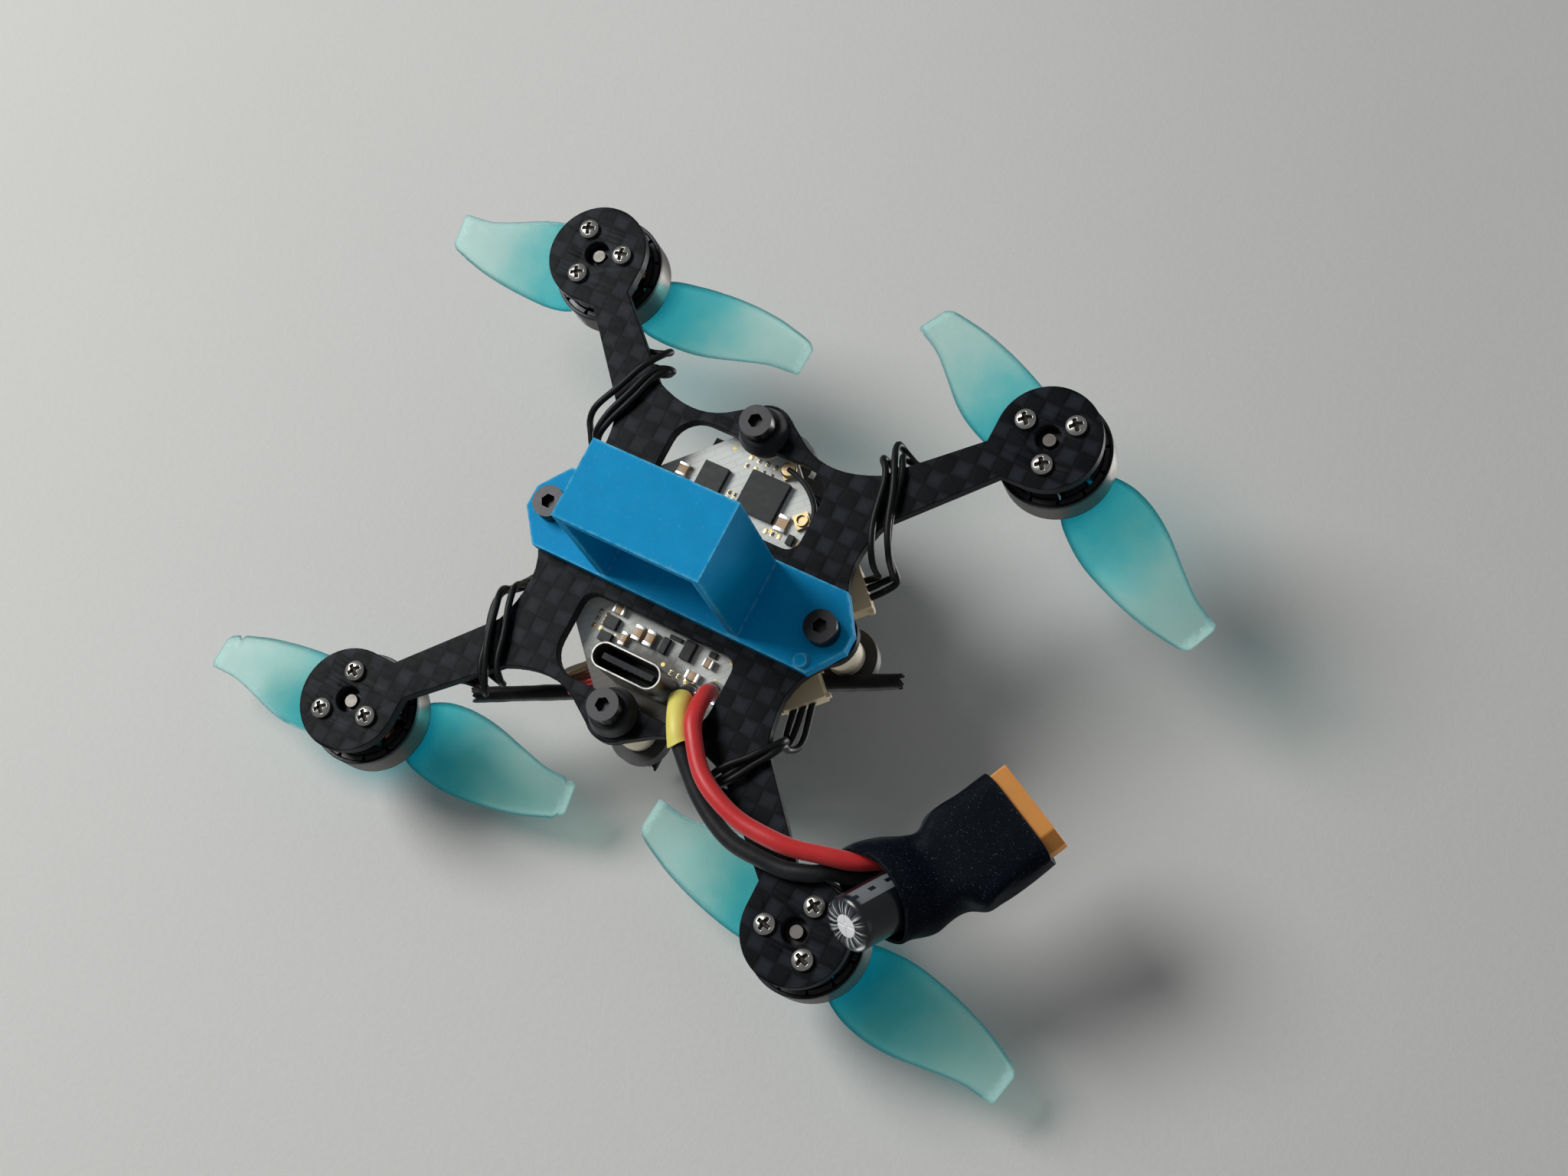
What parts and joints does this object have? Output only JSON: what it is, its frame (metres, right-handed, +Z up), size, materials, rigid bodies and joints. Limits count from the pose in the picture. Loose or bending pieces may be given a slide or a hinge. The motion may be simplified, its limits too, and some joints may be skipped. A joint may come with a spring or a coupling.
{
  "type": "racing drone",
  "caption": "Small open-prop racing quadcopter with a carbon plate frame, all-in-one flight board, battery sling, camera canopy and direct-drive propellers.",
  "frame": {"origin": "centre of the flight board's four-hole pattern, on the belly face of the carbon plate", "axes": "+Z up in flight, towards the propellers; -Y forwards, the way the camera looks; +X to the pilot's left"},
  "size_m": [0.1111, 0.0797, 0.0453],
  "materials": {
    "carbon_fibre": "woven carbon under satin epoxy, checks about 2 mm",
    "steel_screw": "bright plated steel",
    "black_screw": "black oxide steel",
    "black_rubber": "matte moulded rubber",
    "cream_silicone": "soft cream silicone, slightly dusty",
    "white_board": "white solder mask",
    "chip_package": "dark moulded chip packages",
    "ceramic": "tan ceramic with tinned ends",
    "gold_plate": "gold-plated contacts",
    "plated_steel": "folded plated steel",
    "grey_plastic": "dark grey moulding",
    "connector_cream": "cream nylon connector",
    "holder_blue": "bright blue flexible plastic, pale worn edges",
    "lead_red": "red silicone wire",
    "lead_black": "dusty black silicone wire",
    "sleeve_yellow": "thin yellow sleeving",
    "heat_shrink": "wrinkled black heat-shrink, dusty",
    "plug_amber": "amber nylon",
    "can_metal": "scored aluminium can",
    "can_jacket": "black shrink jacket with a pale stripe",
    "wire_black": "thin black silicone wire",
    "motor_alloy": "dark anodised alloy",
    "stator_steel": "lacquered steel laminations",
    "copper": "enamelled copper wire",
    "magnet_nickel": "nickel-plated magnets",
    "polished_steel": "ground steel",
    "prop_cyan": "translucent turquoise polycarbonate",
    "canopy_black": "black flexible moulding",
    "camera_plastic": "fine-textured black plastic",
    "lens_glass": "coated glass",
    "cable": "thin coloured silicone wires",
    "antenna_tube": "matte black tube"
  },
  "bodies": {
    "root": {"frame_plate": "carbon_fibre", "motor_screws": "steel_screw", "stack_screws": "black_screw", "belly_washers": "black_rubber", "board_grommets": "cream_silicone", "stack_nuts": "black_screw", "flight_board": "white_board", "radio_processor": "chip_package", "board_chips": "chip_package", "board_capacitors": "ceramic", "antenna_sockets": "gold_plate", "usb_shell": "plated_steel", "usb_tongue": "grey_plastic", "boot_switch": "plated_steel", "esc_transistors": "chip_package", "motor_sockets": "connector_cream", "motor_plugs": "connector_cream", "battery_holder": "holder_blue", "battery_lead_red": "lead_red", "battery_lead_black": "lead_black", "lead_sleeve": "sleeve_yellow", "plug_sleeve": "heat_shrink", "battery_plug": "plug_amber", "plug_contacts": "gold_plate", "capacitor_can": "can_metal", "capacitor_jacket": "can_jacket", "motor_wires_front_left": "wire_black", "motor_wires_front_right": "wire_black", "motor_wires_rear_left": "wire_black", "motor_wires_rear_right": "wire_black", "motor_bases": "motor_alloy", "motor_stators": "stator_steel", "motor_windings": "copper", "motor_bearings": "polished_steel", "canopy": "canopy_black", "camera_cable": "cable", "camera_plug": "connector_cream", "receiver_antenna": "antenna_tube", "video_antenna": "antenna_tube"},
    "rotor_front_left": {"bell_front_left": "motor_alloy", "magnets_front_left": "magnet_nickel", "shaft_front_left": "polished_steel", "propeller_front_left": "prop_cyan"},
    "rotor_front_right": {"bell_front_right": "motor_alloy", "magnets_front_right": "magnet_nickel", "shaft_front_right": "polished_steel", "propeller_front_right": "prop_cyan"},
    "rotor_rear_left": {"bell_rear_left": "motor_alloy", "magnets_rear_left": "magnet_nickel", "shaft_rear_left": "polished_steel", "propeller_rear_left": "prop_cyan"},
    "rotor_rear_right": {"bell_rear_right": "motor_alloy", "magnets_rear_right": "magnet_nickel", "shaft_rear_right": "polished_steel", "propeller_rear_right": "prop_cyan"},
    "camera": {"camera_body": "camera_plastic", "camera_lens": "camera_plastic", "lens_glass": "lens_glass", "camera_screws": "black_screw"},
    "boot_plunger": {"boot_button": "grey_plastic"}
  },
  "joints": [
    {"name": "rotor_spin_front_left", "type": "hinge", "parent": "root", "child": "rotor_front_left", "pos_m": [0.03012, -0.03012, 0.0045], "axis": [0, 0, 1], "continuous": true},
    {"name": "rotor_spin_front_right", "type": "hinge", "parent": "root", "child": "rotor_front_right", "pos_m": [-0.03012, -0.03012, 0.0045], "axis": [0, 0, 1], "continuous": true},
    {"name": "rotor_spin_rear_left", "type": "hinge", "parent": "root", "child": "rotor_rear_left", "pos_m": [0.03012, 0.03012, 0.0045], "axis": [0, 0, 1], "continuous": true},
    {"name": "rotor_spin_rear_right", "type": "hinge", "parent": "root", "child": "rotor_rear_right", "pos_m": [-0.03012, 0.03012, 0.0045], "axis": [0, 0, 1], "continuous": true},
    {"name": "camera_tilt", "type": "hinge", "parent": "root", "child": "camera", "pos_m": [0, -0.009, 0.0167], "axis": [1, 0, 0], "range_deg": [-15, 12]},
    {"name": "boot_press", "type": "slide", "parent": "root", "child": "boot_plunger", "axis": [0, 0, -1], "range_m": [0, 0.00025], "stiffness_N_per_m": 100}
  ]
}
